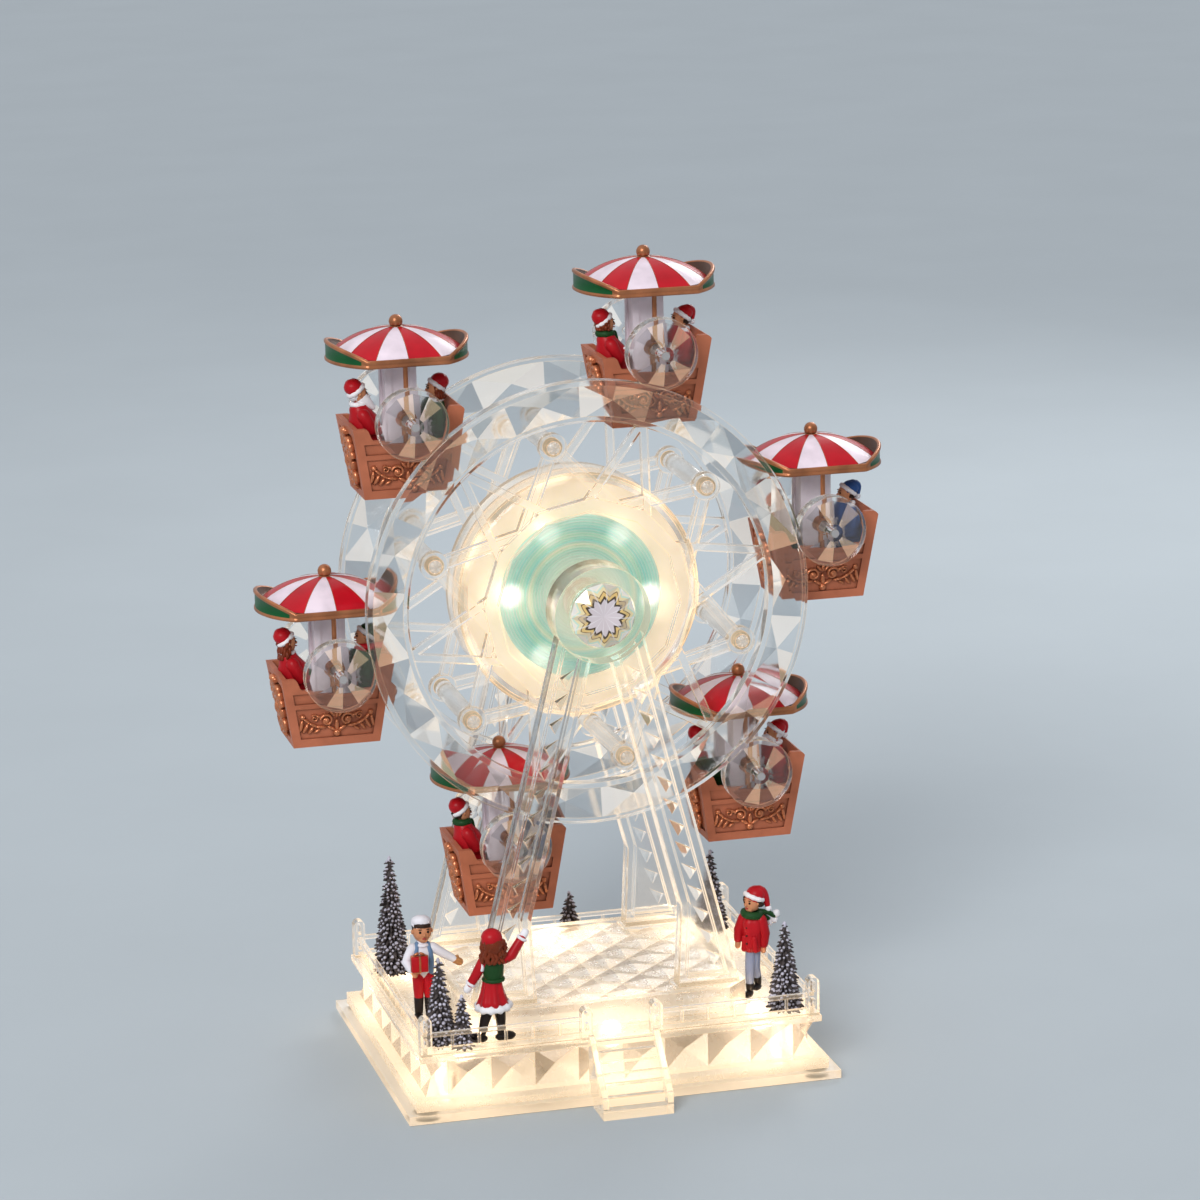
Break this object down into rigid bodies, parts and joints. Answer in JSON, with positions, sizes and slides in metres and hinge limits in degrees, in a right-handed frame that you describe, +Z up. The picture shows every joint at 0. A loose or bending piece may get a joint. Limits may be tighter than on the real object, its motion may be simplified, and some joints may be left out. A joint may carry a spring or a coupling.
{
  "type": "toy Ferris wheel music box",
  "caption": "Battery driven musical toy Ferris wheel of clear cut plastic with hanging gondolas, seated riders, lit hub drum and a railed base with stairs and figures.",
  "frame": {"origin": "middle of the whole footprint on the table, so the wheel's middle plane lies 8 mm behind it", "axes": "+Z up, -Y towards the stairs at the front, +X to the viewer's right; the wheel turns about Y"},
  "size_m": [0.2586, 0.1618, 0.3312],
  "materials": {
    "clear_plastic": "glossy clear acrylic, cut with facets",
    "frosted_plastic": "milky clear plastic, lit from below",
    "cream_plastic": "satin",
    "tub_tan": "satin paint with copper scrolls",
    "canopy_paint": "red and white gores with gold seams",
    "column_white": "satin",
    "gold_rod": "polished",
    "rider_paint": "painted resin",
    "figure_paint": "painted resin",
    "tree_green": "flocked with snow",
    "shimmer": "fine grooves, iridescent",
    "board_green": "solder mask",
    "motor_steel": "drawn can",
    "shaft_steel": "ground",
    "cell_jacket": "printed jacket left plain",
    "contact_metal": "nickel plated",
    "speaker_black": "matt",
    "screw_steel": "zinc plated",
    "switch_black": "matt",
    "lamp_lens": "warm white light"
  },
  "bodies": {
    "stand": {"base_plate": "frosted_plastic", "plinth_shell": "clear_plastic", "quilted_platform": "frosted_plastic", "balustrade": "clear_plastic", "front_stairs": "clear_plastic", "front_a_frame": "clear_plastic", "rear_a_frame": "clear_plastic", "boss_caps": "clear_plastic", "axle_stub": "clear_plastic", "drum_front_shell": "clear_plastic", "drum_rear_shell": "clear_plastic", "shimmer_disc": "shimmer", "drum_light_board": "lamp_lens", "gearmotor": "motor_steel", "boy_with_gift": "figure_paint", "waving_girl": "figure_paint", "boy_with_scarf": "figure_paint", "snowy_trees": "tree_green", "battery_cells": "cell_jacket", "battery_contacts": "contact_metal", "sound_board": "board_green", "speaker": "speaker_black", "case_screws": "screw_steel", "deck_lights": "lamp_lens"},
    "wheel": {"front_side_frame": "clear_plastic", "rear_side_frame": "clear_plastic", "cross_struts": "clear_plastic", "drive_shaft": "shaft_steel"},
    "battery_cover": {"battery_door": "frosted_plastic"},
    "power_switch": {"switch_slide": "switch_black"},
    "gondola_1": {"gondola_1_tub": "tub_tan", "gondola_1_canopy": "canopy_paint", "gondola_1_column": "column_white", "gondola_1_hangers": "gold_rod", "gondola_1_riders": "rider_paint"},
    "gondola_2": {"gondola_2_tub": "tub_tan", "gondola_2_canopy": "canopy_paint", "gondola_2_column": "column_white", "gondola_2_hangers": "gold_rod", "gondola_2_riders": "rider_paint"},
    "gondola_3": {"gondola_3_tub": "tub_tan", "gondola_3_canopy": "canopy_paint", "gondola_3_column": "column_white", "gondola_3_hangers": "gold_rod", "gondola_3_riders": "rider_paint"},
    "gondola_4": {"gondola_4_tub": "tub_tan", "gondola_4_canopy": "canopy_paint", "gondola_4_column": "column_white", "gondola_4_hangers": "gold_rod", "gondola_4_riders": "rider_paint"},
    "gondola_5": {"gondola_5_tub": "tub_tan", "gondola_5_canopy": "canopy_paint", "gondola_5_column": "column_white", "gondola_5_hangers": "gold_rod", "gondola_5_riders": "rider_paint"},
    "gondola_6": {"gondola_6_tub": "tub_tan", "gondola_6_canopy": "canopy_paint", "gondola_6_column": "column_white", "gondola_6_hangers": "gold_rod", "gondola_6_riders": "rider_paint"}
  },
  "joints": [
    {"name": "wheel_spin", "type": "hinge", "parent": "stand", "child": "wheel", "pos_m": [0, 0.008, 0.1937], "axis": [0, 1, 0], "continuous": true},
    {"name": "gondola_1_swing", "type": "hinge", "parent": "wheel", "child": "gondola_1", "pos_m": [0.10085, 0.008, 0.21514], "axis": [0, 1, 0], "continuous": true},
    {"name": "gondola_2_swing", "type": "hinge", "parent": "wheel", "child": "gondola_2", "pos_m": [0.03186, 0.008, 0.29175], "axis": [0, 1, 0], "continuous": true},
    {"name": "gondola_3_swing", "type": "hinge", "parent": "wheel", "child": "gondola_3", "pos_m": [-0.06899, 0.008, 0.27032], "axis": [0, 1, 0], "continuous": true},
    {"name": "gondola_4_swing", "type": "hinge", "parent": "wheel", "child": "gondola_4", "pos_m": [-0.10085, 0.008, 0.17226], "axis": [0, 1, 0], "continuous": true},
    {"name": "gondola_5_swing", "type": "hinge", "parent": "wheel", "child": "gondola_5", "pos_m": [-0.03186, 0.008, 0.09565], "axis": [0, 1, 0], "continuous": true},
    {"name": "gondola_6_swing", "type": "hinge", "parent": "wheel", "child": "gondola_6", "pos_m": [0.06899, 0.008, 0.11708], "axis": [0, 1, 0], "continuous": true},
    {"name": "battery_door_hinge", "type": "hinge", "parent": "stand", "child": "battery_cover", "pos_m": [0.036, -0.00255, 0.0023], "axis": [-1, 0, 0], "range_deg": [0, 100]},
    {"name": "power_switch_slide", "type": "slide", "parent": "stand", "child": "power_switch", "axis": [1, 0, 0], "range_m": [0, 0.004]}
  ],
  "couplings": [
    {"joint": "gondola_1_swing", "follows": "wheel_spin", "ratio": -1},
    {"joint": "gondola_2_swing", "follows": "wheel_spin", "ratio": -1},
    {"joint": "gondola_3_swing", "follows": "wheel_spin", "ratio": -1},
    {"joint": "gondola_4_swing", "follows": "wheel_spin", "ratio": -1},
    {"joint": "gondola_5_swing", "follows": "wheel_spin", "ratio": -1},
    {"joint": "gondola_6_swing", "follows": "wheel_spin", "ratio": -1}
  ]
}
